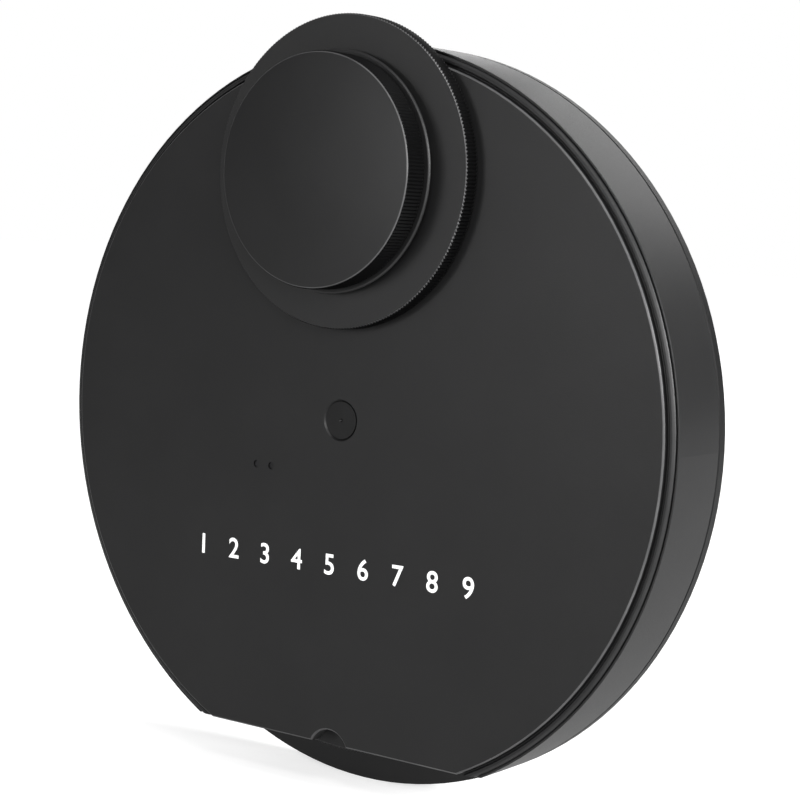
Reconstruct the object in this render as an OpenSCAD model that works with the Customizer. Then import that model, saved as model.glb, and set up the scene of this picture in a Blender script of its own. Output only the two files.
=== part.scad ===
// Optical filter wheel for 1.25 inch filters: a flat round housing with a nine-cell carousel inside,
// turned with a thumb at the flat, a threaded port on each side and a dust cap on the front one.
// It is modelled lying on its back, Z up towards the front, with its origin on the optical axis at the
// rear port's outer face. upright() then stands it up, so that its front faces -Y.

/* [Housing] */
// Thickness of the front plate
face_t = 3.2; // [2.8:0.1:3.6]
// Thickness of the side wall
wall_t = 3.7; // [3.5:0.1:4.2]
// Thickness of the back cover
cover_t = 2.6; // [2.4:0.1:3.4]
// Width of the lowered rim round the front face, with its groove, bead and edge line
rim_w = 2.2; // [2.1:0.05:2.8]
// Height of the step from the bead up to the front face
rim_step = 0.85; // [0.6:0.05:1.1]
// Radius of the rounded outer side of the bead
bead_round = 0.8; // [0.5:0.05:0.9]
// Width of the groove between the front face and the bead
groove_w = 0.5; // [0.4:0.05:0.6]
// Radius of the rounded edge of the front face
face_round = 0.5; // [0.2:0.05:0.6]
// Radius of the rounded rear edge of the back cover
cover_round = 0.6; // [0.3:0.1:1]

/* [Optical path] */
// Outside diameter of the male thread of the front port, and of its spigot in the housing
port_thread_d = 41.9; // [40:0.1:42]
// Thickness of the tube that carries the front port's male thread
neck_wall_t = 1.95; // [1.6:0.05:3.5]
// Inside diameter of the rear port's female thread
rear_thread_d = 41.2; // [40:0.1:42]
// How far the rear port ring stands out behind the back cover
ring_proud = 3; // [2:0.1:5]

/* [Front port] */
// Outside diameter of the knurled flange
flange_d = 61.4; // [56:0.2:64]
// Height of the flange's front face above the housing's front face
flange_h = 4; // [3.4:0.1:5.5]
// Length of the male thread in front of the flange
neck_h = 5.9; // [5:0.1:8]
// Thickness of the washer under the flange
gasket_t = 0.3; // [0.2:0.05:0.5]

/* [Dust cap] */
// Thickness of the cap's knurled side
cap_wall_t = 1.85; // [1.6:0.05:2.6]
// Height of the cap, from its lower edge to its front face
cap_h = 6.2; // [5.4:0.1:8]
// Thickness of the cap's front
cap_top_t = 1.8; // [1.2:0.1:2.4]

/* [Carousel] */
// Number of filter cells
cell_count = 9; // [7:1:10]
// Inside diameter of a cell's filter thread
cell_thread_d = 27.86; // [26:0.02:28]
// Diameter of the seat behind each filter thread
cell_seat_d = 31.4; // [30:0.1:32]
// Depth of that seat
cell_seat_h = 1.8; // [1:0.1:2.5]
// Narrowest web between the seats of two cells
cell_web = 2.05; // [1:0.05:4]
// Width of the carousel outside the seats
carousel_rim = 3.6; // [2.6:0.1:5]
// Thickness of the carousel
carousel_t = 6.8; // [6:0.1:8]
// Room between the carousel's edge and the side wall
carousel_gap = 3.1; // [3:0.1:3.4]
// Room between the front plate and the carousel
plate_gap = 2.2; // [2.1:0.05:2.6]
// How far the carousel's edge stands out past the flat of the housing
thumb_proud = 2.5; // [1.5:0.1:4]
// How far the circle of detent dimples lies inside the seats of the cells
detent_inset = 2.9; // [2.6:0.1:4]

/* [Pivot] */
// Diameter of the axle's end that shows in the front plate
stem_d = 7.5; // [6:0.1:8]
// Diameter of the axle's journal
journal_d = 10; // [9:0.2:11]
// Outside diameter of the bush in the carousel
bush_d = 14; // [13:0.2:15]
// Diameter of the thrust faces: axle flange, bush flange and washers
thrust_d = 22; // [18:0.5:24]

/* [Fits] */
// Radial running clearance between the journal and the bush
journal_fit = 0.04; // [0.02:0.01:0.1]
// Radial running clearance of the front port's spigot and of the cap
spigot_fit = 0.05; // [0.02:0.01:0.1]
// Radial clearance of a pin, screw or ring in its hole
hole_fit = 0.05; // [0.02:0.01:0.1]
// End play between faces that turn on each other
end_play = 0.05; // [0.02:0.01:0.1]

/* [Hidden] */
$fn = 96;
eps = 0.01;
over = 5;
arc_steps = 10;

// Ring of cells and the round housing outside it, from the middle outwards
cell_pitch = 360 / cell_count;
axis_offset = (cell_seat_d + cell_web) / (2 * sin(cell_pitch / 2));
carousel_r = axis_offset + cell_seat_d / 2 + carousel_rim;
cavity_r = carousel_r + carousel_gap;
housing_r = cavity_r + wall_t;
housing_d = 2 * housing_r;

// Thicknesses in the pivot's stack of pieces
axle_flange_t = 1;
washer_t = 0.4;
spring_room = 0.85;
disc_spring_t = 0.3;
disc_spring_rise = 0.45;
retainer_t = 0.8;
lock_washer_t = 0.6;
axle_screw_head_h = 1.3;
screw_room = 0.8;
rear_room = end_play + washer_t + spring_room + retainer_t + lock_washer_t + axle_screw_head_h + screw_room;

// Heights from the rear port's outer face, towards the front
cover_z = ring_proud;
seam_z = cover_z + cover_t;
carousel_rear_z = seam_z + rear_room;
carousel_front_z = carousel_rear_z + carousel_t;
plate_z = carousel_front_z + plate_gap;
face_z = plate_z + face_t;

// Knurl of the carousel's edge
thumb_knurl_pitch = 2.4;
thumb_knurl_depth = 0.5;
thumb_lip = 0.7;

// Rim of the shell: groove, bead, fine edge line and land, from the front face outwards
groove_depth = 1.5;
bead_inner_round = 0.25;
bead_z = face_z - rim_step;
edge_line_w = 0.25;
edge_line_depth = 0.45;
edge_land_w = 0.3;
edge_bevel = 0.12;
edge_z = face_z - groove_depth;
seam_bevel = 0.3;

// Flat at the foot of the housing, with the ledge that closes it behind the carousel's edge
flat_y = -(carousel_r - thumb_proud);
flat_bevel = 0.35;
ledge_gap = 0.35;
ledge_z = carousel_rear_z - ledge_gap;
ledge_inner_r = axis_offset + cell_seat_d / 2 + 0.8;
ledge_rise = 5;
notch_r = 4.7;
notch_rise = 2.9;

// Screws and dowels of the back cover: the screws stand in lugs, the dowels in the wall
screw_count = 8;
screw_inset = 2.8;
screw_circle_r = housing_r - screw_inset;
screw_r = 1;
screw_len = 6;
screw_tip_room = 0.3;
screw_head_r = 1.9;
screw_head_h = 1;
screw_hex = 1.3;
screw_hex_depth = 0.7;
screw_pass_fit = 0.15;
lug_r = 2.8;
lug_drop = 0.25;
lug_h = ledge_z - seam_z - lug_drop;
dowel_r = 0.75;
dowel_circle_r = housing_r - wall_t / 2;
dowel_depth = 1.6;
dowel_rise = 3;
register_h = 0.8;
register_w = 2.2;
register_gap = 0.2;

// Rear port ring
ring_spigot_t = 2.4;
ring_flange_w = 3;
ring_spigot_r = rear_thread_d / 2 + ring_spigot_t;
ring_flange_r = ring_spigot_r + ring_flange_w;
ring_bevel = 0.3;
spanner_inset = 0.6;
spanner_w = 3;
spanner_depth = 1.2;

// Front port adapter and cap
aperture_d = port_thread_d - 2 * neck_wall_t;
port_bore_r = port_thread_d / 2 + spigot_fit;
flange_r = flange_d / 2;
gasket_z = face_z + gasket_t;
flange_z = face_z + flange_h;
neck_z = flange_z + neck_h;
spigot_short = 0.45;
spigot_z = plate_z + spigot_short;
neck_relief_h = 0.8;
neck_relief = 0.6;
gasket_w = 3.6;
knurl_pitch = 2;
knurl_depth = 0.3;
knurl_core = 0.1;
knurl_lip = 0.4;
cap_gap = 0.13;
cap_front_z = neck_z + cap_gap + cap_top_t;
cap_rear_z = cap_front_z - cap_h;
cap_bore_r = port_thread_d / 2 + spigot_fit;
cap_r = cap_bore_r + cap_wall_t;
cap_bead_w = 0.85;
cap_bead_r = cap_r + cap_bead_w;
cap_bead_h = 0.7;

// Pivot stack: each piece lies on the one before it, from the front plate to the back
bush_flange_t = plate_gap - axle_flange_t - washer_t - 2 * end_play;
axle_flange_z = plate_z - axle_flange_t;
front_washer_z = carousel_front_z + bush_flange_t + end_play;
rear_washer_z = carousel_rear_z - end_play - washer_t;
journal_z = rear_washer_z - spring_room;
retainer_z = journal_z - retainer_t;
lock_washer_z = retainer_z - lock_washer_t;
axle_screw_r = 2;
axle_screw_head_r = 3.5;
axle_screw_len = 8;
axle_screw_hex = 2.5;
axle_screw_hex_floor = 0.2;
axle_tap_room = 0.5;
disc_spring_fit = 0.25;
disc_spring_inset = 1.6;
retainer_inset = 1.5;
lock_washer_split = 0.8;
stem_recess = 0.2;
stem_chamfer = 0.4;
centre_mark = 0.4;

// Detent: a leaf spring riveted to the front plate, its nose in one of the carousel's dimples, which lie
// between the cells
detent_r = axis_offset - cell_seat_d / 2 - detent_inset;
nose_angle = 90 + cell_pitch * 3.5;
nose_x = detent_r * cos(nose_angle);
nose_y = detent_r * sin(nose_angle);
leaf_len = 12.3;
rivet_x = nose_x;
rivet_y = nose_y + leaf_len;
rivet_gap = 3.9;
rivet_r = 0.7;
rivet_recess = 0.35;
rivet_head_r = 1.3;
rivet_head_h = 0.4;
leaf_w = 6.5;
leaf_t = 0.4;
leaf_root = 2.6;
leaf_foot = 2.4;
leaf_toe = 2;
leaf_tip = 1.4;
leaf_tip_rise = 0.5;
leaf_clear = 0.4;
leaf_low_z = carousel_front_z + leaf_clear;
clamp_w = 8;
clamp_len = 4.4;
clamp_t = 0.9;
nose_r = 1.8;
nose_clear = 0.1;
dimple_r = 2.2;
dimple_depth = 0.5;

// ---- Shared shapes ----

// Stands the model up: its front faces -Y and its top +Z
module upright() {
    rotate([90, 0, 0]) children();
}

// Moves to the carousel's pivot, which is the centre of the round housing
module at_pivot() {
    translate([0, -axis_offset, 0]) children();
}

module disc(r, z0, z1) {
    translate([0, 0, z0]) cylinder(r = r, h = z1 - z0);
}

module ring(outer, inner, z0, z1) {
    difference() {
        disc(outer, z0, z1);
        disc(inner, z0 - over, z1 + over);
    }
}

module hex_socket(across, z0, z1) {
    translate([0, 0, z0]) cylinder(d = across / cos(30), h = z1 - z0, $fn = 6);
}

// Points of an arc, for the rounded edges of turned profiles
function arc(cx, cz, r, from, to) =
    [for (i = [0:arc_steps]) let(a = from + (to - from) * i / arc_steps) [cx + r * cos(a), cz + r * sin(a)]];

// Outline of a straight knurl: V grooves round a circle
function knurl_count(r, pitch) = round(2 * PI * r / pitch);
function knurl_outline(r, depth, count) =
    [for (i = [0:2 * count - 1]) let(q = i % 2 == 0 ? r : r - depth) [q * cos(180 * i / count), q * sin(180 * i / count)]];

module knurled_band(r, depth, pitch, z0, z1) {
    translate([0, 0, z0]) linear_extrude(z1 - z0) polygon(knurl_outline(r, depth, knurl_count(r, pitch)));
}

// Repeats round the cover's circle of screws
module each_screw() {
    for (i = [0:screw_count - 1])
        rotate(360 / screw_count * (i + 0.5)) translate([screw_circle_r, 0, 0]) children();
}

module each_dowel() {
    for (a = [0, 180]) rotate(a) translate([dowel_circle_r, 0, 0]) children();
}

module each_cell() {
    for (i = [0:cell_count - 1]) rotate(cell_pitch * i) translate([0, axis_offset, 0]) children();
}

module each_rivet() {
    for (side = [-1, 1]) translate([rivet_x + side * rivet_gap / 2, rivet_y, 0]) children();
}

// ---- Housing ----

// Turned outside of the shell: side wall, edge line, bead, groove and raised front face
module shell_outside() {
    face_r = housing_r - rim_w;
    groove_r = groove_w / 2;
    line_r = housing_r - edge_land_w - edge_line_w;
    rotate_extrude() polygon(concat(
        [[0, seam_z], [housing_r - seam_bevel, seam_z], [housing_r, seam_z + seam_bevel]],
        [[housing_r, edge_z - edge_bevel], [housing_r - edge_bevel, edge_z]],
        [[housing_r - edge_land_w, edge_z], [housing_r - edge_land_w, edge_z - edge_line_depth]],
        [[line_r, edge_z - edge_line_depth]],
        arc(line_r - bead_round, bead_z - bead_round, bead_round, 0, 90),
        arc(face_r + groove_w + bead_inner_round, bead_z - bead_inner_round, bead_inner_round, 90, 180),
        arc(face_r + groove_r, face_z - groove_depth + groove_r, groove_r, 0, -180),
        arc(face_r - face_round, face_z - face_round, face_round, 0, 90),
        [[0, face_z]]
    ));
}

// Flat with the half-round reading notch, cut down to the ledge, with bevelled front edges
module thumb_cut() {
    notch_y = flat_y + notch_rise - notch_r;
    bevel_side = flat_bevel * sqrt(2);
    translate([-housing_r, flat_y - housing_r, ledge_z]) cube([housing_d, housing_r, face_z]);
    translate([0, flat_y, face_z]) rotate([45, 0, 0]) cube([housing_d, bevel_side, bevel_side], center = true);
    translate([0, notch_y, ledge_z]) cylinder(r = notch_r, h = face_z);
    translate([0, notch_y, face_z - flat_bevel])
        cylinder(r1 = notch_r, r2 = notch_r + flat_bevel + over, h = flat_bevel + over);
}

// Half plane at the foot, up to a line that lies above the flat by rise
module foot(rise, z0, z1) {
    translate([-housing_r, flat_y + rise - housing_r, z0]) cube([housing_d, housing_r, z1 - z0]);
}

// Room for the carousel. The lugs for the cover's screws and the ledge at the foot are left standing in it
module cavity() difference() {
    disc(cavity_r, seam_z - over, plate_z);
    each_screw() disc(lug_r, seam_z - 2 * over, seam_z + lug_h);
    difference() {
        foot(ledge_rise, seam_z - 2 * over, ledge_z);
        disc(ledge_inner_r, seam_z - 3 * over, ledge_z + over);
    }
}

module front_shell() color([0.13, 0.13, 0.135]) difference() {
    at_pivot() difference() {
        shell_outside();
        cavity();
    }
    at_pivot() thumb_cut();
    disc(port_bore_r, plate_z - over, face_z + over);
    at_pivot() {
        each_screw() disc(screw_r + hole_fit, seam_z - over, cover_z + screw_len + screw_tip_room);
        each_dowel() disc(dowel_r + hole_fit, seam_z - over, seam_z + dowel_rise + hole_fit);
        disc(stem_d / 2 + hole_fit, plate_z - over, face_z + over);
        translate([0, 0, face_z - stem_chamfer])
            cylinder(r1 = stem_d / 2 + hole_fit, r2 = stem_d / 2 + stem_chamfer + over, h = stem_chamfer + over);
        each_rivet() disc(rivet_r + hole_fit, plate_z - over, face_z + over);
    }
}

module back_cover() color([0.12, 0.12, 0.125]) difference() {
    at_pivot() union() {
        rotate_extrude() polygon(concat(
            [[0, cover_z]],
            arc(housing_r - cover_round, cover_z + cover_round, cover_round, -90, 0),
            [[housing_r, seam_z - seam_bevel], [housing_r - seam_bevel, seam_z], [0, seam_z]]
        ));
        difference() {
            ring(cavity_r - hole_fit, cavity_r - register_w, seam_z - eps, seam_z + register_h);
            each_screw() disc(lug_r + register_gap, seam_z - over, seam_z + over);
            foot(ledge_rise + register_gap, seam_z - over, seam_z + over);
        }
    }
    disc(ring_spigot_r + hole_fit, cover_z - over, seam_z + over);
    at_pivot() each_screw() {
        disc(screw_r + screw_pass_fit, cover_z - over, seam_z + over);
        translate([0, 0, cover_z - hole_fit])
            cylinder(r1 = screw_head_r + 2 * hole_fit, r2 = screw_r + 2 * hole_fit, h = screw_head_h);
    }
    at_pivot() each_dowel() disc(dowel_r + hole_fit, seam_z - dowel_depth - hole_fit, seam_z + over);
}

module cover_screws() color([0.1, 0.1, 0.1]) at_pivot() each_screw() difference() {
    union() {
        translate([0, 0, cover_z]) cylinder(r1 = screw_head_r, r2 = screw_r, h = screw_head_h);
        disc(screw_r, cover_z + screw_head_h - eps, cover_z + screw_len);
    }
    hex_socket(screw_hex, cover_z - over, cover_z + screw_hex_depth);
}

module dowel_pins() color("silver") at_pivot() each_dowel() disc(dowel_r, seam_z - dowel_depth, seam_z + dowel_rise);

// Ring with the female thread that the telescope screws into
module rear_port_ring() color([0.14, 0.14, 0.145]) difference() {
    union() {
        cylinder(r1 = ring_flange_r - ring_bevel, r2 = ring_flange_r, h = ring_bevel);
        disc(ring_flange_r, ring_bevel, cover_z);
        disc(ring_spigot_r, cover_z - eps, seam_z);
    }
    disc(rear_thread_d / 2, -over, seam_z + over);
    for (a = [0, 180]) rotate(a) translate([ring_spigot_r + spanner_inset, -spanner_w / 2, -over])
        cube([over, spanner_w, over + spanner_depth]);
}

// ---- Front port ----

module port_gasket() color([0.05, 0.05, 0.05])
    ring(port_bore_r + gasket_w, port_bore_r, face_z, gasket_z);

// Knurled flange with its spigot in the housing and the male thread in front
module port_adapter() color([0.12, 0.12, 0.125]) difference() {
    union() {
        disc(port_thread_d / 2, spigot_z, neck_z);
        disc(flange_r - knurl_depth - knurl_core, gasket_z, flange_z);
        knurled_band(flange_r, knurl_depth, knurl_pitch, gasket_z + knurl_lip, flange_z - knurl_lip);
    }
    disc(aperture_d / 2, spigot_z - over, neck_z + over);
    ring(port_thread_d / 2 + over, port_thread_d / 2 - neck_relief, flange_z, flange_z + neck_relief_h);
}

module dust_cap() color([0.11, 0.11, 0.115]) difference() {
    union() {
        disc(cap_r - knurl_depth - knurl_core, cap_rear_z, cap_front_z);
        knurled_band(cap_r, knurl_depth, knurl_pitch, cap_rear_z + cap_bead_h - eps, cap_front_z - knurl_lip);
        disc(cap_bead_r, cap_rear_z, cap_rear_z + cap_bead_h);
    }
    disc(cap_bore_r, cap_rear_z - over, cap_front_z - cap_top_t);
}

// ---- Carousel ----

// Disc of nine threaded cells with a knurled edge for the thumb and a dimple for each cell
module carousel() color([0.15, 0.15, 0.155]) at_pivot() difference() {
    union() {
        disc(carousel_r - thumb_knurl_depth - knurl_core, carousel_rear_z, carousel_front_z);
        knurled_band(carousel_r, thumb_knurl_depth, thumb_knurl_pitch,
            carousel_rear_z + thumb_lip, carousel_front_z - thumb_lip);
    }
    each_cell() {
        disc(cell_thread_d / 2, carousel_rear_z - over, carousel_front_z + over);
        disc(cell_seat_d / 2, carousel_rear_z - over, carousel_rear_z + cell_seat_h);
    }
    for (i = [0:cell_count - 1]) rotate(nose_angle + cell_pitch * i)
        translate([detent_r, 0, carousel_front_z + dimple_r - dimple_depth]) sphere(r = dimple_r);
    disc(bush_d / 2 + eps, carousel_rear_z - over, carousel_front_z + over);
}

module hub_bush() color([0.72, 0.55, 0.3]) at_pivot() difference() {
    union() {
        disc(bush_d / 2, carousel_rear_z, carousel_front_z + eps);
        disc(thrust_d / 2, carousel_front_z, carousel_front_z + bush_flange_t);
    }
    disc(journal_d / 2 + journal_fit, carousel_rear_z - over, carousel_front_z + over);
}

module thrust_washer_front() color([0.9, 0.9, 0.88]) at_pivot()
    ring(thrust_d / 2, journal_d / 2 + hole_fit, front_washer_z, front_washer_z + washer_t);

module thrust_washer_rear() color([0.9, 0.9, 0.88]) at_pivot()
    ring(thrust_d / 2, journal_d / 2 + hole_fit, rear_washer_z, rear_washer_z + washer_t);

// ---- Pivot ----

// Shouldered axle: its stem is held in the front plate, its journal carries the bush
module axle() color([0.16, 0.16, 0.165]) at_pivot() difference() {
    union() {
        disc(stem_d / 2, plate_z - eps, face_z - stem_recess);
        disc(thrust_d / 2, axle_flange_z, plate_z);
        disc(journal_d / 2, journal_z, plate_z - eps);
    }
    disc(axle_screw_r + hole_fit, journal_z - over, lock_washer_z + axle_screw_len + axle_tap_room);
    translate([0, 0, face_z - stem_recess - centre_mark]) cylinder(r1 = 0, r2 = centre_mark + eps, h = centre_mark + eps);
}

// Cone-shaped spring washer that keeps the carousel against its front thrust face
module disc_spring() color([0.6, 0.6, 0.62]) at_pivot() {
    inner = journal_d / 2 + disc_spring_fit;
    outer = thrust_d / 2 - disc_spring_inset;
    z0 = journal_z + eps;
    rotate_extrude() polygon([
        [inner, z0], [outer, z0 + disc_spring_rise],
        [outer, z0 + disc_spring_rise + disc_spring_t], [inner, z0 + disc_spring_t]
    ]);
}

module retaining_washer() color([0.6, 0.6, 0.62]) at_pivot()
    ring(thrust_d / 2 - retainer_inset, axle_screw_r + 2 * hole_fit, retainer_z, journal_z);

module lock_washer() color([0.55, 0.55, 0.57]) at_pivot() difference() {
    ring(axle_screw_head_r, axle_screw_r + 2 * hole_fit, lock_washer_z, retainer_z);
    translate([0, -lock_washer_split / 2, lock_washer_z - over]) cube([over, lock_washer_split, 2 * over]);
}

module axle_screw() color([0.55, 0.55, 0.57]) at_pivot() difference() {
    union() {
        disc(axle_screw_head_r, lock_washer_z - axle_screw_head_h, lock_washer_z);
        disc(axle_screw_r, lock_washer_z - eps, lock_washer_z + axle_screw_len);
    }
    hex_socket(axle_screw_hex, lock_washer_z - axle_screw_head_h - over, lock_washer_z - axle_screw_hex_floor);
}

// ---- Detent ----

// Leaf of spring strip: flat root under the plate, slope, low end with a round nose, turned-up tip
module detent_spring() color([0.66, 0.66, 0.68]) at_pivot() union() {
    root = rivet_y + leaf_root;
    bend = rivet_y - leaf_root;
    top = [
        [root, plate_z], [bend, plate_z], [nose_y + leaf_foot, leaf_low_z + leaf_t],
        [nose_y - leaf_toe, leaf_low_z + leaf_t], [nose_y - leaf_toe - leaf_tip, leaf_low_z + leaf_t + leaf_tip_rise]
    ];
    under = [for (i = [len(top) - 1:-1:0]) [top[i][0], top[i][1] - leaf_t]];
    translate([rivet_x - leaf_w / 2, 0, 0]) rotate([90, 0, 90]) difference() {
        linear_extrude(leaf_w) polygon(concat(top, under));
        for (side = [-1, 1]) translate([rivet_y, plate_z + over, leaf_w / 2 + side * rivet_gap / 2])
            rotate([90, 0, 0]) cylinder(r = rivet_r + hole_fit, h = 2 * over);
    }
    intersection() {
        translate([rivet_x, nose_y, carousel_front_z - dimple_depth + nose_clear + nose_r]) sphere(r = nose_r);
        translate([rivet_x, nose_y, 0]) disc(nose_r + over, 0, leaf_low_z + leaf_t / 2);
    }
}

module spring_clamp() color([0.6, 0.6, 0.62]) at_pivot() difference() {
    translate([rivet_x - clamp_w / 2, rivet_y - clamp_len / 2, plate_z - leaf_t - clamp_t])
        cube([clamp_w, clamp_len, clamp_t]);
    each_rivet() disc(rivet_r + hole_fit, plate_z - over, plate_z + over);
}

module spring_rivets() color([0.1, 0.1, 0.1]) at_pivot() each_rivet() {
    clamp_z = plate_z - leaf_t - clamp_t;
    disc(rivet_r, clamp_z - eps, face_z - rivet_recess);
    disc(rivet_head_r, clamp_z - rivet_head_h, clamp_z);
}

upright() front_shell();
upright() back_cover();
upright() cover_screws();
upright() dowel_pins();
upright() rear_port_ring();
upright() port_gasket();
upright() port_adapter();
upright() dust_cap();
upright() carousel();
upright() hub_bush();
upright() thrust_washer_front();
upright() thrust_washer_rear();
upright() axle();
upright() disc_spring();
upright() retaining_washer();
upright() lock_washer();
upright() axle_screw();
upright() detent_spring();
upright() spring_clamp();
upright() spring_rivets();
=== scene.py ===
import math

import bpy
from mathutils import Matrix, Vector


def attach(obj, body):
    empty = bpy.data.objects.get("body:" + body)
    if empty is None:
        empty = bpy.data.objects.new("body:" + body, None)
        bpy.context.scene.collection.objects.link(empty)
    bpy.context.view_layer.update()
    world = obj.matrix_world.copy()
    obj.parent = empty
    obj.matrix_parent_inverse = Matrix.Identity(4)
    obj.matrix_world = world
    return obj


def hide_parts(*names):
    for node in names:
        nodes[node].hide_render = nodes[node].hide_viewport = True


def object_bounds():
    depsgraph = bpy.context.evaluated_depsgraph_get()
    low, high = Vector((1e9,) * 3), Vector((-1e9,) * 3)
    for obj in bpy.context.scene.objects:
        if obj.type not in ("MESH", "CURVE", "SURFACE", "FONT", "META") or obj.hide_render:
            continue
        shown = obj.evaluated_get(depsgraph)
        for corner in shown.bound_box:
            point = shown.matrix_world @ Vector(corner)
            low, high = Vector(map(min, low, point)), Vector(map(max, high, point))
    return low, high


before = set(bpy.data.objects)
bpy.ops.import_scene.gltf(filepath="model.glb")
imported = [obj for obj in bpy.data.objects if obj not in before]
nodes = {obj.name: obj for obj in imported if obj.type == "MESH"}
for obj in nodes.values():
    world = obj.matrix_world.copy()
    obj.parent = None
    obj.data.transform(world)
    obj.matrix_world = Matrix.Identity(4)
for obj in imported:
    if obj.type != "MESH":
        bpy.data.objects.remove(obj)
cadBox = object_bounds()
mm = 0.001
print("frame loaded:", len(nodes), "nodes")


# Camera and studio

cameraView = {
    "place": (0.23949, -0.32959, -0.01064),
    "turn": (85.0452, -2.3557, 36.4439),  # degrees, with a slight roll
    "lens": 88.51,
}


def addCamera(view):
    turn = [math.radians(a) for a in view["turn"]]
    bpy.ops.object.camera_add(location=view["place"], rotation=turn)
    camera = bpy.context.object
    camera.name = "viewCamera"
    camera.data.lens = view["lens"]
    camera.data.sensor_width = 36
    camera.data.clip_start = 0.01
    camera.data.clip_end = 50
    bpy.context.scene.camera = camera


studio = {
    "floorSize": 12.0,
    "floorColor": (0.60, 0.60, 0.60, 1),
    "floorLift": 0.95,  # how much the floor shines for the camera, so that it reads as white
    "nearLift": 0.60,  # the same beside the object, low enough to keep its shadow
    "liftFrom": 0.15, "liftTo": 1.3,  # where near gives way to far, in metres from the middle
    "floorGloss": 0.27,  # the share of that lift that the gloss shows
    "roomLevel": 0.12,
    "roomGloss": 0.03,  # how much of the white background the gloss shows
}

objectMiddle = (0, 0, -0.04)  # where a soft box points, unless it has an aim of its own
softBoxes = {
    "rightSide": {"place": (1.1, 0.1, 0.3), "size": (0.4, 0.4), "watts": 24},
    "topRear": {"place": (-0.05, 1.0, 0.55), "size": (0.5, 0.4), "watts": 1.4},
    "farRear": {"place": (-0.35, 2.0, 0.45), "size": (1.0, 0.8), "watts": 6},
    "rightRear": {"place": (0.35, 0.95, 0.55), "size": (0.4, 0.4), "watts": 0.6},
    "leftRear": {"place": (-0.56, 1.0, 0.33), "size": (0.4, 0.3), "watts": 1.5},
    "rightKey": {
        "place": (0.68, -0.8, 0.28), "size": (0.7, 0.5), "watts": 12, "aim": (0.03, 0, -0.03),
    },
    "frontLeft": {"place": (-0.35, -1.15, 0.12), "size": (0.3, 0.3), "watts": 4.1},
    "nearTop": {
        "place": (0.25, -0.35, 0.55), "size": (0.2, 0.2), "watts": 1.2, "aim": (0.05, 0, 0),
    },
}


def whiteForViewers(tree, gloss):
    # One for the camera and through glass, a share for the gloss, nothing for plain room light
    path = tree.nodes.new("ShaderNodeLightPath")
    share = tree.nodes.new("ShaderNodeMath")
    share.operation = "MULTIPLY"
    share.inputs[1].default_value = gloss
    tree.links.new(path.outputs["Is Glossy Ray"], share.inputs[0])
    most = share.outputs[0]
    for ray in ("Is Camera Ray", "Is Transmission Ray"):
        larger = tree.nodes.new("ShaderNodeMath")
        larger.operation = "MAXIMUM"
        tree.links.new(path.outputs[ray], larger.inputs[0])
        tree.links.new(most, larger.inputs[1])
        most = larger.outputs[0]
    return most


def addWorld(settings):
    world = bpy.data.worlds.new("studioWorld")
    bpy.context.scene.world = world
    world.use_nodes = True
    tree = world.node_tree
    tree.nodes.clear()
    seen = tree.nodes.new("ShaderNodeBackground")
    seen.inputs["Color"].default_value = (1, 1, 1, 1)
    seen.inputs["Strength"].default_value = 1
    room = tree.nodes.new("ShaderNodeBackground")
    room.inputs["Color"].default_value = (1, 1, 1, 1)
    room.inputs["Strength"].default_value = settings["roomLevel"]
    mix = tree.nodes.new("ShaderNodeMixShader")
    out = tree.nodes.new("ShaderNodeOutputWorld")
    tree.links.new(whiteForViewers(tree, settings["roomGloss"]), mix.inputs[0])
    tree.links.new(room.outputs[0], mix.inputs[1])
    tree.links.new(seen.outputs[0], mix.inputs[2])
    tree.links.new(mix.outputs[0], out.inputs[0])


def addFloor(settings):
    low = cadBox[0][2]
    bpy.ops.mesh.primitive_plane_add(size=settings["floorSize"], location=(0, 0, low))
    floor = bpy.context.object
    floor.name = "studioFloor"
    material = bpy.data.materials.new("floorWhite")
    material.use_nodes = True
    tree = material.node_tree
    tree.nodes.clear()
    matt = tree.nodes.new("ShaderNodeBsdfDiffuse")
    matt.inputs["Color"].default_value = settings["floorColor"]
    glow = tree.nodes.new("ShaderNodeEmission")
    glow.inputs["Color"].default_value = (1, 1, 1, 1)
    where = tree.nodes.new("ShaderNodeTexCoord")
    reach = tree.nodes.new("ShaderNodeVectorMath")
    reach.operation = "LENGTH"
    tree.links.new(where.outputs["Object"], reach.inputs[0])
    byReach = tree.nodes.new("ShaderNodeMapRange")
    byReach.inputs["From Min"].default_value = settings["liftFrom"]
    byReach.inputs["From Max"].default_value = settings["liftTo"]
    byReach.inputs["To Min"].default_value = settings["nearLift"]
    byReach.inputs["To Max"].default_value = settings["floorLift"]
    tree.links.new(reach.outputs["Value"], byReach.inputs["Value"])
    lift = tree.nodes.new("ShaderNodeMath")
    lift.operation = "MULTIPLY"
    tree.links.new(whiteForViewers(tree, settings["floorGloss"]), lift.inputs[0])
    tree.links.new(byReach.outputs["Result"], lift.inputs[1])
    tree.links.new(lift.outputs[0], glow.inputs["Strength"])
    both = tree.nodes.new("ShaderNodeAddShader")
    out = tree.nodes.new("ShaderNodeOutputMaterial")
    tree.links.new(matt.outputs[0], both.inputs[0])
    tree.links.new(glow.outputs[0], both.inputs[1])
    tree.links.new(both.outputs[0], out.inputs["Surface"])
    floor.data.materials.append(material)


def addSoftBoxes(boxes):
    for name, box in boxes.items():
        bpy.ops.object.light_add(type="AREA", location=box["place"])
        lamp = bpy.context.object
        lamp.name = name
        toAim = Vector(box.get("aim", objectMiddle)) - Vector(box["place"])
        lamp.rotation_euler = toAim.to_track_quat("-Z", "Y").to_euler()
        lamp.data.shape = "RECTANGLE"
        lamp.data.size, lamp.data.size_y = box["size"]
        lamp.data.energy = box["watts"]


addCamera(cameraView)
addWorld(studio)
addFloor(studio)
addSoftBoxes(softBoxes)
bpy.context.scene.view_settings.view_transform = "Standard"
print("camera and studio ready")


# Modelling steps

weld = 0.001 * mm  # vertices nearer than this are merged


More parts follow.
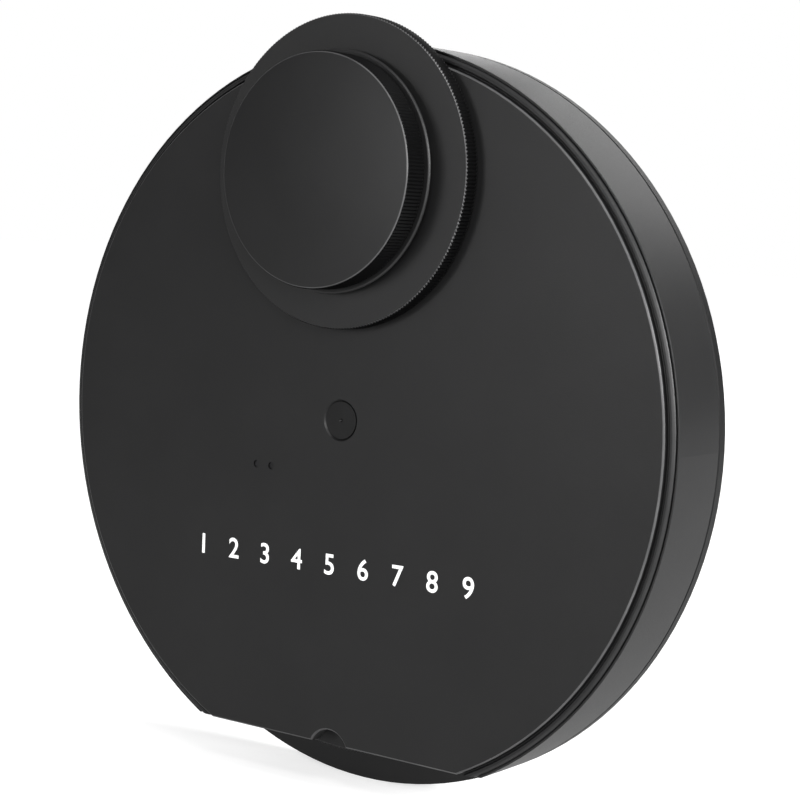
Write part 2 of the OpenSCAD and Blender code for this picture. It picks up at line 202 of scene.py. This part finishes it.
def clearSelection():
    active = bpy.context.object
    if active and active.mode != "OBJECT":
        bpy.ops.object.mode_set(mode="OBJECT")
    bpy.ops.object.select_all(action="DESELECT")


def onlySelect(piece):
    clearSelection()
    bpy.context.view_layer.objects.active = piece
    piece.select_set(True)


def drawOutline(name, points):
    # A small plane is merged to one vertex and drawn out, point by point, into an outline
    clearSelection()
    bpy.ops.mesh.primitive_plane_add(size=mm, location=(0, 0, 0))
    piece = bpy.context.object
    piece.name = name
    piece.data.name = name
    bpy.ops.object.mode_set(mode="EDIT")
    bpy.ops.mesh.select_mode(type="VERT")
    bpy.ops.mesh.select_all(action="SELECT")
    bpy.ops.mesh.merge(type="CENTER")
    bpy.ops.transform.translate(value=points[0])
    for here, there in zip(points, points[1:]):
        step = Vector(there) - Vector(here)
        bpy.ops.mesh.extrude_region_move(TRANSFORM_OT_translate={"value": step})
    return piece


def spinOutline(centre, steps):
    # Turns the outline that is open in edit mode about an axis along Y
    bpy.ops.mesh.select_all(action="SELECT")
    bpy.ops.mesh.remove_doubles(threshold=weld)
    bpy.ops.mesh.select_all(action="SELECT")
    bpy.ops.mesh.spin(steps=steps, angle=2 * math.pi, center=centre, axis=(0, 1, 0))
    bpy.ops.mesh.select_all(action="SELECT")
    bpy.ops.mesh.remove_doubles(threshold=weld)
    bpy.ops.mesh.normals_make_consistent(inside=False)
    bpy.ops.object.mode_set(mode="OBJECT")


def turnPiece(name, outline, centre, steps, closed=True):
    # Outline in mm: distance from the axis, height above the rear port's face
    points = [Vector((centre.x + r * mm, -h * mm, centre.z)) for r, h in outline]
    if closed:
        points.append(points[0])
    piece = drawOutline(name, points)
    spinOutline(centre, steps)
    return piece


def cutKnurl(piece, centre, teeth, radius, depth):
    # Every second column of the outermost vertices moves in, which leaves straight V grooves
    onRadius = 0.01 * mm
    clearSelection()
    bpy.context.view_layer.objects.active = piece
    bpy.ops.object.mode_set(mode="EDIT")
    bpy.ops.mesh.select_mode(type="VERT")
    bpy.ops.mesh.select_all(action="DESELECT")
    bpy.ops.object.mode_set(mode="OBJECT")
    column = math.pi / teeth
    for vertex in piece.data.vertices:
        x, z = vertex.co.x - centre.x, vertex.co.z - centre.z
        number = round(math.atan2(z, x) / column)
        vertex.select = number % 2 == 1 and abs(math.hypot(x, z) - radius * mm) < onRadius
    bpy.ops.object.mode_set(mode="EDIT")
    inwards = (radius - depth) / radius
    bpy.ops.transform.resize(value=(inwards, 1, inwards), center_override=centre)
    bpy.ops.object.mode_set(mode="OBJECT")


def addThread(name, thread, centre):
    # One closed triangle, wound up by a Screw modifier, with its two ends filled
    root, crest = thread["root"], thread["crest"]
    half = thread["pitch"] * 0.46  # leaves a narrow flat between two turns
    low = thread["from"] + half
    corners = [(root, low - half), (crest, low), (root, low + half)]
    points = [Vector((centre.x + r * mm, -h * mm, centre.z)) for r, h in corners]
    piece = drawOutline(name, points + [points[0]])
    bpy.ops.mesh.select_all(action="SELECT")
    bpy.ops.mesh.remove_doubles(threshold=weld)
    bpy.ops.object.mode_set(mode="OBJECT")
    bpy.context.scene.cursor.location = centre
    bpy.ops.object.origin_set(type="ORIGIN_CURSOR")
    winding = piece.modifiers.new("winding", "SCREW")
    winding.axis = "Y"
    winding.angle = 2 * math.pi * thread["turns"]
    winding.screw_offset = -thread["pitch"] * thread["turns"] * mm
    winding.steps = winding.render_steps = round(thread["steps"] * thread["turns"])
    winding.use_merge_vertices = False
    bpy.ops.object.modifier_apply(modifier=winding.name)
    bpy.ops.object.transform_apply(location=True, rotation=False, scale=False)
    bpy.ops.object.mode_set(mode="EDIT")
    bpy.ops.mesh.select_all(action="SELECT")
    bpy.ops.mesh.fill_holes(sides=4)
    bpy.ops.mesh.select_all(action="SELECT")
    bpy.ops.mesh.normals_make_consistent(inside=False)
    bpy.ops.object.mode_set(mode="OBJECT")
    return piece


def copyTurned(piece, angle, centre, name):
    # The copy has its own mesh, and its turn goes into the mesh
    onlySelect(piece)
    bpy.ops.object.duplicate()
    copy = bpy.context.object
    copy.name = name
    copy.data.name = name
    bpy.ops.object.mode_set(mode="EDIT")
    bpy.ops.mesh.select_all(action="SELECT")
    bpy.ops.transform.rotate(value=angle, orient_axis="Y", center_override=centre)
    bpy.ops.object.mode_set(mode="OBJECT")
    return copy


def joinPieces(main, others):
    onlySelect(main)
    for other in others:
        other.select_set(True)
    bpy.ops.object.join()
    return main


def cutAway(piece, cutter):
    onlySelect(piece)
    cut = piece.modifiers.new("cut", "BOOLEAN")
    cut.operation = "DIFFERENCE"
    cut.solver = "EXACT"
    cut.object = cutter
    bpy.ops.object.modifier_apply(modifier=cut.name)
    bpy.data.objects.remove(cutter)


def smooth(piece, degrees=32):
    onlySelect(piece)
    bpy.ops.object.shade_smooth_by_angle(angle=math.radians(degrees))


port = Vector((0, 0, 0))
hub = Vector((0, 0, -48.9007 * mm))


# Front port adapter: knurled flange, spigot in the housing, male thread in front

adapterSizes = {
    "bore": 19.0, "thread": 20.95, "threadCore": 20.52, "relief": 20.35,
    "flange": 30.7, "spigotEnd": 19.85, "back": 22.9, "front": 26.6, "end": 32.5,
    "edge": 0.3, "boreLead": 0.3, "threadLead": 0.35, "reliefWidth": 0.7, "reliefCorner": 0.15,
    "teeth": 268, "knurlDepth": 0.34,
    "pitch": 0.75, "turns": 6, "threadStart": 0.9, "ridgeFoot": 0.06, "ridgeGap": 0.02,
}


def buildAdapter(s):
    r, front, end = s["flange"], s["front"], s["end"]
    edge, lead, threadLead, corner = s["edge"], s["boreLead"], s["threadLead"], s["reliefCorner"]
    outline = [
        (s["bore"], s["spigotEnd"] + lead), (s["bore"] + lead, s["spigotEnd"]),
        (s["thread"] - threadLead, s["spigotEnd"]), (s["thread"], s["spigotEnd"] + threadLead),
        (s["thread"], s["back"]), (r - edge, s["back"]), (r, s["back"] + edge),
        (r, front - edge), (r - edge, front), (s["relief"] + corner, front),
        (s["relief"], front + corner), (s["relief"], front + s["reliefWidth"]),
        (s["threadCore"], front + s["reliefWidth"] + corner), (s["threadCore"], end - threadLead),
        (s["threadCore"] - threadLead, end), (s["bore"] + lead, end), (s["bore"], end - lead),
    ]
    adapter = turnPiece("portAdapter", outline, port, 2 * s["teeth"])
    cutKnurl(adapter, port, s["teeth"], r, s["knurlDepth"])
    thread = addThread("adapterThread", {
        "root": s["threadCore"] - s["ridgeFoot"], "crest": s["thread"] - s["ridgeGap"],
        "pitch": s["pitch"], "from": front + s["threadStart"], "turns": s["turns"], "steps": 96,
    }, port)
    joinPieces(adapter, [thread])
    smooth(adapter)
    return adapter


# Dust cap: knurled side between a bevelled front edge and a rounded bead

capSizes = {
    "side": 22.85, "bead": 23.7, "bore": 21.0, "rear": 28.23, "front": 34.43, "roof": 32.63,
    "edge": 0.32, "bevelAcross": 1.6, "bevelDown": 1.7,  # the last two in edges
    "beadRise": 0.7, "beadRound": 0.42, "beadCorner": 0.15, "grooveTop": 0.4, "grooveWall": 0.24,
    "grooveDepth": 0.35, "grooveSunk": 0.02, "grooveFoot": 0.2, "boreLead": 0.3, "roofCorner": 0.2,
    "teeth": 206, "knurlDepth": 0.3,
}


def quarterRound(r, h, radius, firstTurn, turn, steps):
    # Points of a rounded corner about the point (r, h), in mm, with turns in degrees
    turns = [math.radians(firstTurn + turn * step) for step in range(steps)]
    return [(r + radius * math.cos(a), h + radius * math.sin(a)) for a in turns]


def buildCap(s):
    side, bead, edge, front, rear = s["side"], s["bead"], s["edge"], s["front"], s["rear"]
    beadTop = rear + s["beadRise"]
    beadRound, floor = s["beadRound"], beadTop - s["grooveSunk"]
    bevelStart = side - s["bevelAcross"] * edge
    outline = [(0, front), (bevelStart, front)]
    outline += quarterRound(bevelStart, front - edge, edge, 72, -18, 4)
    outline += [
        (side, front - s["bevelDown"] * edge), (side, beadTop + s["grooveTop"]),
        (side - s["grooveDepth"], beadTop + s["grooveWall"]), (side - s["grooveDepth"], floor),
        (side - s["grooveFoot"], floor),
    ]
    outline += quarterRound(bead - beadRound, beadTop - beadRound, beadRound, 90, -15, 7)
    outline += [
        (bead, rear + s["beadCorner"]), (bead - s["beadCorner"], rear),
        (s["bore"] + s["boreLead"], rear), (s["bore"], rear + s["boreLead"]),
        (s["bore"], s["roof"] - s["roofCorner"]), (s["bore"] - s["roofCorner"], s["roof"]),
        (0, s["roof"]),
    ]
    cap = turnPiece("dustCap", outline, port, 2 * s["teeth"], closed=False)
    cutKnurl(cap, port, s["teeth"], side, s["knurlDepth"])
    smooth(cap)
    return cap


# Rear port ring: flange with two spanner notches and the female thread

ringSizes = {
    "threadRoot": 20.95, "thread": 20.6, "spigot": 23.0, "flange": 26.0, "bevel": 0.3,
    "rise": 3.0, "end": 5.6, "lead": 0.35,
    "notchFrom": 23.6, "notchReach": 5.0, "notchWidth": 3.0, "notchDepth": 1.2,
    "pitch": 0.75, "turns": 6, "threadStart": 0.5, "ridgeFoot": 0.06, "ridgeGap": 0.02,
}


def buildRing(s):
    outline = [
        (s["threadRoot"], s["lead"]), (s["threadRoot"] + s["lead"], 0),
        (s["flange"] - s["bevel"], 0), (s["flange"], s["bevel"]), (s["flange"], s["rise"]),
        (s["spigot"], s["rise"]), (s["spigot"], s["end"]), (s["threadRoot"], s["end"]),
    ]
    ring = turnPiece("rearPortRing", outline, port, steps=192)
    for side in (-1, 1):
        clearSelection()
        place = (side * (s["notchFrom"] + s["notchReach"] / 2) * mm, 0, 0)
        bpy.ops.mesh.primitive_cube_add(size=1, location=place)
        notch = bpy.context.object
        notch.scale = (s["notchReach"] * mm, 2 * s["notchDepth"] * mm, s["notchWidth"] * mm)
        bpy.ops.object.transform_apply(location=True, rotation=False, scale=True)
        cutAway(ring, notch)
    thread = addThread("ringThread", {
        "root": s["threadRoot"] + s["ridgeFoot"], "crest": s["thread"] + s["ridgeGap"],
        "pitch": s["pitch"], "from": s["threadStart"], "turns": s["turns"], "steps": 96,
    }, port)
    joinPieces(ring, [thread])
    smooth(ring)
    return ring


# Carousel: nine threaded cells, knurled edge, detent dimples and engraved cell numbers

carouselSizes = {
    "radius": 68.2, "lip": 67.6, "rear": 10.4, "front": 17.2, "teeth": 536, "knurlDepth": 0.4,
    "lipBevel": 0.25, "lipWidth": 0.55, "knurlInset": 0.85, "bushBore": 7.01,
    "cells": 9, "cellRing": 48.9007, "threadRoot": 14.22, "thread": 13.93,
    "seat": 15.7, "seatDepth": 1.8, "cellCorner": 0.1, "mouthDepth": 0.35, "past": 2,
    "pitch": 0.6, "turns": 7, "threadStart": 0.15, "ridgeFoot": 0.05, "ridgeGap": 0.02,
    "dimpleRing": 30.3, "dimpleBall": 2.2, "dimpleDepth": 0.5, "dimpleAngle": 230,
    "numberRing": 64.9, "numberSize": 3.9, "numberDepth": 0.18,
}


def cellCutter(s):
    root, seat, corner, past = s["threadRoot"], s["seat"], s["cellCorner"], s["past"]
    front, seatFloor = s["front"], s["rear"] + s["seatDepth"]
    mouth = root + s["mouthDepth"] + corner
    outline = [
        (0, s["rear"] - past), (seat, s["rear"] - past), (seat, seatFloor),
        (root + corner, seatFloor), (root, seatFloor + corner), (root, front - s["mouthDepth"]),
        (mouth, front + corner), (mouth, front + past), (0, front + past),
    ]
    centre = hub + Vector((0, 0, s["cellRing"] * mm))
    return turnPiece("cellCutter", outline, centre, steps=96, closed=False)


def addNumber(number, size, depth, name, bolder=0.0):
    clearSelection()
    bpy.ops.object.text_add(location=(0, 0, 0))
    text = bpy.context.object
    text.data.body = str(number)
    text.data.size = size * mm
    text.data.align_x = "CENTER"
    text.data.align_y = "CENTER"
    text.data.extrude = depth * mm
    text.data.offset = bolder * mm
    text.data.resolution_u = 6
    bpy.ops.object.convert(target="MESH")
    digit = bpy.context.object
    digit.name = name
    digit.data.name = name
    bpy.ops.object.mode_set(mode="EDIT")
    bpy.ops.mesh.select_all(action="SELECT")
    bpy.ops.mesh.remove_doubles(threshold=weld)
    bpy.ops.mesh.normals_make_consistent(inside=False)
    bpy.ops.object.mode_set(mode="OBJECT")
    digit.rotation_euler = (math.radians(90), 0, 0)  # faces the front
    bpy.ops.object.transform_apply(location=False, rotation=True, scale=False)
    return digit


def copiesRound(piece, count, name):
    # The piece and its turned copies, evenly round the hub, joined into one
    turn = 2 * math.pi / count
    copies = [copyTurned(piece, turn * i, hub, name + str(i + 1)) for i in range(1, count)]
    return joinPieces(piece, copies)


def numberCutter(s):
    digits = []
    for i in range(s["cells"]):
        digit = addNumber(i + 1, s["numberSize"], s["numberDepth"], "cellNumber" + str(i + 1))
        digit.location = hub + Vector((0, -s["front"] * mm, -s["numberRing"] * mm))
        bpy.ops.object.transform_apply(location=True, rotation=False, scale=False)
        turn = 2 * math.pi / s["cells"] * i
        digits.append(copyTurned(digit, turn, hub, "numberCutter" + str(i + 1)))
        bpy.data.objects.remove(digit)
    return joinPieces(digits[0], digits[1:])


def dimpleCutter(s):
    balls = []
    ball = s["dimpleBall"] * mm
    for i in range(s["cells"]):
        turn = math.radians(s["dimpleAngle"]) + 2 * math.pi / s["cells"] * i
        across, up = s["dimpleRing"] * math.cos(turn), s["dimpleRing"] * math.sin(turn)
        where = hub + Vector((across, 0, up)) * mm
        where.y = -(s["front"] + s["dimpleBall"] - s["dimpleDepth"]) * mm
        clearSelection()
        bpy.ops.mesh.primitive_uv_sphere_add(
            segments=32, ring_count=24, radius=ball, location=where)
        bpy.ops.object.transform_apply(location=True, rotation=False, scale=False)
        balls.append(bpy.context.object)
    return joinPieces(balls[0], balls[1:])


def buildCarousel(s):
    rear, front, lip, radius = s["rear"], s["front"], s["lip"], s["radius"]
    bevel, width, inset = s["lipBevel"], s["lipWidth"], s["knurlInset"]
    outline = [
        (s["bushBore"], rear), (lip - bevel, rear), (lip, rear + bevel), (lip, rear + width),
        (radius, rear + inset), (radius, front - inset), (lip, front - width), (lip, front - bevel),
        (lip - bevel, front), (s["bushBore"], front),
    ]
    wheel = turnPiece("carouselWheel", outline, hub, 2 * s["teeth"])
    cutKnurl(wheel, hub, s["teeth"], radius, s["knurlDepth"])
    cutAway(wheel, numberCutter(s))  # first, while the faces are still simple
    cutAway(wheel, copiesRound(cellCutter(s), s["cells"], "cellCutter"))
    cutAway(wheel, dimpleCutter(s))
    thread = addThread("cellThread", {
        "root": s["threadRoot"] + s["ridgeFoot"], "crest": s["thread"] + s["ridgeGap"],
        "pitch": s["pitch"], "from": rear + s["seatDepth"] + s["threadStart"],
        "turns": s["turns"], "steps": 48,
    }, hub + Vector((0, 0, s["cellRing"] * mm)))
    joinPieces(wheel, [copiesRound(thread, s["cells"], "cellThread")])
    smooth(wheel)
    return wheel


# Row of plain numbers under the axle, one for each cell

rowSizes = {
    "count": 9, "left": -35.2, "right": 32.4, "height": -78.3, "face": 22.6,
    "size": 5.9, "ink": 0.02, "bolder": 0.07,
}


def buildNumberRow(s):
    digits = []
    pitch = (s["right"] - s["left"]) / (s["count"] - 1)
    for i in range(s["count"]):
        digit = addNumber(i + 1, s["size"], s["ink"], "rowNumber" + str(i + 1), s["bolder"])
        digit.location = Vector((s["left"] + pitch * i, -s["face"], s["height"])) * mm
        bpy.ops.object.transform_apply(location=True, rotation=False, scale=False)
        digits.append(digit)
    return joinPieces(digits[0], digits[1:])


portAdapter = buildAdapter(adapterSizes)
print("port adapter:", len(portAdapter.data.polygons), "faces")
dustCap = buildCap(capSizes)
print("dust cap:", len(dustCap.data.polygons), "faces")
rearPortRing = buildRing(ringSizes)
print("rear port ring:", len(rearPortRing.data.polygons), "faces")
carouselWheel = buildCarousel(carouselSizes)
print("carousel:", len(carouselWheel.data.polygons), "faces")
numberRow = buildNumberRow(rowSizes)
numberRow.name = "numberRow"
print("number row:", len(numberRow.data.polygons), "faces")


# Finishes

def newFinish(name, base, rough, metal=0.0, specular=0.5):
    material = bpy.data.materials.new(name)
    material.use_nodes = True
    shader = material.node_tree.nodes["Principled BSDF"]
    shader.inputs["Base Color"].default_value = base
    shader.inputs["Roughness"].default_value = rough
    shader.inputs["Metallic"].default_value = metal
    shader.inputs["Specular IOR Level"].default_value = specular
    return material, material.node_tree, shader


def grain(tree, scale, detail, rough=0.6, stretch=(1, 1, 1)):
    where = tree.nodes.new("ShaderNodeTexCoord")
    place = tree.nodes.new("ShaderNodeMapping")
    place.inputs["Scale"].default_value = stretch
    noise = tree.nodes.new("ShaderNodeTexNoise")
    noise.inputs["Scale"].default_value = scale
    noise.inputs["Detail"].default_value = detail
    noise.inputs["Roughness"].default_value = rough
    tree.links.new(where.outputs["Object"], place.inputs["Vector"])
    tree.links.new(place.outputs["Vector"], noise.inputs["Vector"])
    return noise.outputs["Fac"]


def toolRings(tree, centre, spacing):
    # Fine rings left by turning, about an axis along Y
    plainSpacing = 0.314  # of the rings of a wave texture at scale 1
    where = tree.nodes.new("ShaderNodeTexCoord")
    place = tree.nodes.new("ShaderNodeMapping")
    place.inputs["Location"].default_value = [-c for c in centre]
    place.inputs["Scale"].default_value = (1, 0.6, 1)
    wave = tree.nodes.new("ShaderNodeTexWave")
    wave.wave_type = "RINGS"
    wave.rings_direction = "Y"
    wave.inputs["Scale"].default_value = plainSpacing / spacing
    wave.inputs["Distortion"].default_value = 1.2
    wave.inputs["Detail"].default_value = 2
    wave.inputs["Detail Scale"].default_value = 3
    tree.links.new(where.outputs["Object"], place.inputs["Vector"])
    tree.links.new(place.outputs["Vector"], wave.inputs["Vector"])
    return wave.outputs["Fac"]


def spread(tree, value, low, high, fromLow=0.3, fromHigh=0.7):
    span = tree.nodes.new("ShaderNodeMapRange")
    span.inputs["From Min"].default_value = fromLow
    span.inputs["From Max"].default_value = fromHigh
    span.inputs["To Min"].default_value = low
    span.inputs["To Max"].default_value = high
    tree.links.new(value, span.inputs["Value"])
    return span.outputs["Result"]


def shade(tree, shader, value, dark, light):
    ramp = tree.nodes.new("ShaderNodeValToRGB")
    ramp.color_ramp.elements[0].position = 0.3
    ramp.color_ramp.elements[1].position = 0.7
    ramp.color_ramp.elements[0].color = dark
    ramp.color_ramp.elements[1].color = light
    tree.links.new(value, ramp.inputs["Fac"])
    tree.links.new(ramp.outputs["Color"], shader.inputs["Base Color"])


def bumpFrom(tree, shader, value, strength, distance):
    bump = tree.nodes.new("ShaderNodeBump")
    bump.inputs["Strength"].default_value = strength
    bump.inputs["Distance"].default_value = distance
    tree.links.new(value, bump.inputs["Height"])
    tree.links.new(bump.outputs["Normal"], shader.inputs["Normal"])


def blastedBlack(name, s):
    # Black anodising over a fine bead blast: soft sheen with a very fine even grain
    material, tree, shader = newFinish(name, s["dark"], rough=0.5, specular=s["specular"])
    shade(tree, shader, grain(tree, s["cloudScale"], detail=4), s["dark"], s["light"])
    fine = grain(tree, s["grainScale"], detail=2, rough=0.5)
    tree.links.new(spread(tree, fine, s["roughLow"], s["roughHigh"]), shader.inputs["Roughness"])
    bumpFrom(tree, shader, fine, s["bump"], s["bumpDepth"])
    return material


def turnedBlack(name, s, centre):
    # Black over a turned surface: the same sheen, with faint rings from the tool
    material, tree, shader = newFinish(name, s["dark"], rough=0.45, specular=s["specular"])
    shade(tree, shader, grain(tree, s["cloudScale"], detail=4), s["dark"], s["light"])
    rings = toolRings(tree, centre, s["ringSpacing"])
    rough = spread(tree, rings, s["roughLow"], s["roughHigh"], fromLow=0, fromHigh=1)
    tree.links.new(rough, shader.inputs["Roughness"])
    bumpFrom(tree, shader, rings, s["bump"], s["bumpDepth"])
    return material


def plainMetal(name, s):
    # Bare metal with a lengthways or rolled grain
    material, tree, shader = newFinish(name, s["dark"], rough=0.3, metal=1.0)
    lines = grain(tree, s["grainScale"], detail=3, rough=0.55, stretch=s["stretch"])
    shade(tree, shader, lines, s["dark"], s["light"])
    tree.links.new(spread(tree, lines, s["roughLow"], s["roughHigh"]), shader.inputs["Roughness"])
    bumpFrom(tree, shader, lines, s["bump"], distance=0.00002)
    return material


def softSheet(name, s):
    # Plastic, fibre or ink: matt, with a fine mottle
    material, tree, shader = newFinish(name, s["dark"], rough=0.6, specular=s["specular"])
    mottle = grain(tree, s["grainScale"], detail=4)
    shade(tree, shader, mottle, s["dark"], s["light"])
    tree.links.new(spread(tree, mottle, s["roughLow"], s["roughHigh"]), shader.inputs["Roughness"])
    bumpFrom(tree, shader, mottle, s["bump"], distance=0.00004)
    return material


def coverAll(piece, material):
    piece.data.materials.clear()
    piece.data.materials.append(material)
    for face in piece.data.polygons:
        face.material_index = 0


# How far a face may lean, as the share of its normal that lies along the axis
faceLeans = {"knurl": 0.2, "edgeFrom": 0.25, "edgeTo": 0.96, "rear": 0.9}

# How far a knurl's faces may lie inside and outside its radius, in mm
knurlReach = {"inside": 0.4, "outside": 0.1}

# Bands of edges that get a painted highlight, in mm: distance from the axis, height above the rear
# port's face
highlightBands = {
    "flangeEdge": {"inner": 30.3, "outer": 30.8, "low": 26.25, "high": 26.61},
    "capEdge": {"inner": 22.3, "outer": 22.9, "low": 33.85, "high": 34.44},
    "capBead": {"inner": 23.25, "outer": 23.75, "low": 28.5, "high": 28.94},
    "faceEdge": {"inner": 55, "outer": 74, "low": 22.05, "high": 22.61},
    "rimBead": {"inner": 73.7, "outer": 74.6, "low": 20.9, "high": 21.76},
}


def addSlot(piece, material):
    piece.data.materials.append(material)
    return len(piece.data.materials) - 1


def coverKnurl(piece, material, centre, radius):
    # The cut faces of a knurl take a darker black, a painted shade in the knurl
    inner, outer = (radius - knurlReach["inside"]) * mm, (radius + knurlReach["outside"]) * mm
    slot = addSlot(piece, material)
    for face in piece.data.polygons:
        middle = face.center
        reach = math.hypot(middle.x - centre.x, middle.z - centre.z)
        if inner < reach < outer and abs(face.normal.y) < faceLeans["knurl"]:
            face.material_index = slot


def coverEdge(piece, material, centre, band):
    # Sloping faces in a band take the material given, a lighter black that paints a highlight along
    # the edge
    slot = addSlot(piece, material)
    for face in piece.data.polygons:
        middle = face.center
        reach = math.hypot(middle.x - centre.x, middle.z - centre.z) / mm
        height = -middle.y / mm
        inBand = band["inner"] < reach < band["outer"] and band["low"] < height < band["high"]
        if inBand and faceLeans["edgeFrom"] < abs(face.normal.y) < faceLeans["edgeTo"]:
            face.material_index = slot


def coverRear(piece, material):
    # The faces that look straight back take a second finish
    slot = addSlot(piece, material)
    for face in piece.data.polygons:
        if face.normal.y > faceLeans["rear"]:
            face.material_index = slot


housingFinish = {
    "dark": (0.0055, 0.0055, 0.0057, 1), "light": (0.0075, 0.0075, 0.0077, 1),
    "grainScale": 5200, "cloudScale": 45, "roughLow": 0.38, "roughHigh": 0.46,
    "bump": 0.35, "bumpDepth": 0.00004, "specular": 0.25,
}
portFinish = dict(housingFinish, specular=0.3, roughLow=0.44)
capFinish = dict(housingFinish, cloudScale=60)
coverFinish = dict(housingFinish, specular=0.13, cloudScale=38)
rearFinish = dict(housingFinish, specular=0.30, cloudScale=38)
carouselFinish = dict(housingFinish, grainScale=4800, cloudScale=55, roughHigh=0.6)
# Painted shade: a near-black, duller copy of the housing black for the knurled faces
knurlShadeFinish = dict(
    housingFinish, specular=0.06,
    dark=(0.0018, 0.0018, 0.0019, 1), light=(0.0030, 0.0030, 0.0031, 1),
)
# Painted highlight: a much lighter black for the bevels of the flange, the cap and the front face
edgeHighlightFinish = dict(
    housingFinish, cloudScale=160,
    dark=(0.040, 0.040, 0.041, 1), light=(0.070, 0.070, 0.071, 1),
)
# Painted highlight: a lighter black for the rounded beads, to brighten their light line
beadHighlightFinish = dict(
    housingFinish, cloudScale=120,
    dark=(0.012, 0.012, 0.0123, 1), light=(0.020, 0.020, 0.0203, 1),
)
axleFinish = {
    "dark": (0.0040, 0.0040, 0.0041, 1), "light": (0.0060, 0.0060, 0.0062, 1),
    "cloudScale": 300, "ringSpacing": 0.00012, "roughLow": 0.36, "roughHigh": 0.46,
    "bump": 0.12, "bumpDepth": 0.00002, "specular": 0.18,
}
blackSteelFinish = dict(
    axleFinish, roughLow=0.28,
    dark=(0.0075, 0.0075, 0.0080, 1), light=(0.0130, 0.0130, 0.0140, 1),
)
brightSteelFinish = {
    "dark": (0.50, 0.50, 0.51, 1), "light": (0.62, 0.62, 0.63, 1), "grainScale": 900,
    "stretch": (1, 8, 1), "roughLow": 0.22, "roughHigh": 0.34, "bump": 0.15,
}
springSteelFinish = {
    "dark": (0.36, 0.37, 0.39, 1), "light": (0.48, 0.49, 0.51, 1), "grainScale": 700,
    "stretch": (6, 1, 0.4), "roughLow": 0.26, "roughHigh": 0.4, "bump": 0.15,
}
bronzeFinish = {
    "dark": (0.52, 0.33, 0.13, 1), "light": (0.66, 0.45, 0.20, 1), "grainScale": 800,
    "stretch": (1, 5, 1), "roughLow": 0.3, "roughHigh": 0.42, "bump": 0.15,
}
washerFinish = {
    "dark": (0.74, 0.74, 0.71, 1), "light": (0.82, 0.82, 0.80, 1), "grainScale": 1500,
    "roughLow": 0.42, "roughHigh": 0.55, "bump": 0.08, "specular": 0.4,
}
gasketFinish = {
    "dark": (0.012, 0.012, 0.012, 1), "light": (0.028, 0.027, 0.026, 1), "grainScale": 2600,
    "roughLow": 0.75, "roughHigh": 0.9, "bump": 0.5, "specular": 0.3,
}
inkFinish = {
    "dark": (0.90, 0.90, 0.90, 1), "light": (0.96, 0.96, 0.96, 1), "grainScale": 4000,
    "roughLow": 0.5, "roughHigh": 0.62, "bump": 0.1, "specular": 0.4,
}

housingBlack = blastedBlack("housingBlack", housingFinish)
coverBlack = blastedBlack("coverBlack", coverFinish)
knurlShadeBlack = blastedBlack("knurlShadeBlack", knurlShadeFinish)
edgeHighlightBlack = blastedBlack("edgeHighlightBlack", edgeHighlightFinish)
beadHighlightBlack = blastedBlack("beadHighlightBlack", beadHighlightFinish)
rearBlack = blastedBlack("rearBlack", rearFinish)
portBlack = blastedBlack("portBlack", portFinish)
capBlack = blastedBlack("capBlack", capFinish)
carouselBlack = blastedBlack("carouselBlack", carouselFinish)
axleBlack = turnedBlack("axleBlack", axleFinish, hub)
blackSteel = turnedBlack("blackSteel", blackSteelFinish, hub)
brightSteel = plainMetal("brightSteel", brightSteelFinish)
springSteel = plainMetal("springSteel", springSteelFinish)
bushBronze = plainMetal("bushBronze", bronzeFinish)
washerPlastic = softSheet("washerPlastic", washerFinish)
gasketFibre = softSheet("gasketFibre", gasketFinish)
whiteInk = softSheet("whiteInk", inkFinish)

nodeFinishes = {
    "front_shell": housingBlack, "back_cover": coverBlack, "cover_screws": blackSteel,
    "dowel_pins": brightSteel, "rear_port_ring": portBlack, "port_adapter": portBlack,
    "port_gasket": gasketFibre, "dust_cap": capBlack, "carousel": carouselBlack,
    "hub_bush": bushBronze, "axle": axleBlack, "axle_screw": brightSteel,
    "retaining_washer": brightSteel, "lock_washer": springSteel, "disc_spring": springSteel,
    "thrust_washer_front": washerPlastic, "thrust_washer_rear": washerPlastic,
    "detent_spring": springSteel, "spring_clamp": brightSteel, "spring_rivets": blackSteel,
}
for name, finish in nodeFinishes.items():
    coverAll(nodes[name], finish)
coverAll(portAdapter, portBlack)
coverAll(dustCap, capBlack)
coverKnurl(portAdapter, knurlShadeBlack, port, adapterSizes["flange"])
coverKnurl(dustCap, knurlShadeBlack, port, capSizes["side"])
# Painted highlights: lighter blacks on the bands of edges and beads
coverEdge(portAdapter, edgeHighlightBlack, port, highlightBands["flangeEdge"])
coverEdge(dustCap, edgeHighlightBlack, port, highlightBands["capEdge"])
coverEdge(dustCap, beadHighlightBlack, port, highlightBands["capBead"])
coverEdge(nodes["front_shell"], edgeHighlightBlack, hub, highlightBands["faceEdge"])
coverEdge(nodes["front_shell"], beadHighlightBlack, hub, highlightBands["rimBead"])
coverRear(nodes["back_cover"], rearBlack)
coverAll(rearPortRing, portBlack)
coverAll(carouselWheel, carouselBlack)
coverAll(numberRow, whiteInk)
print("finishes ready")


# Pieces ride on their bodies and stand for their nodes

rides = [
    (portAdapter, "adapter", "port_adapter", "port_black"),
    (dustCap, "cap", "dust_cap", "cap_black"),
    (rearPortRing, "housing", "rear_port_ring", "port_black"),
    (carouselWheel, "carousel", "carousel", "carousel_black"),
]
for piece, body, node, slot in rides:
    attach(piece, body)
    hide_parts(node)
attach(numberRow, "housing")
clearSelection()
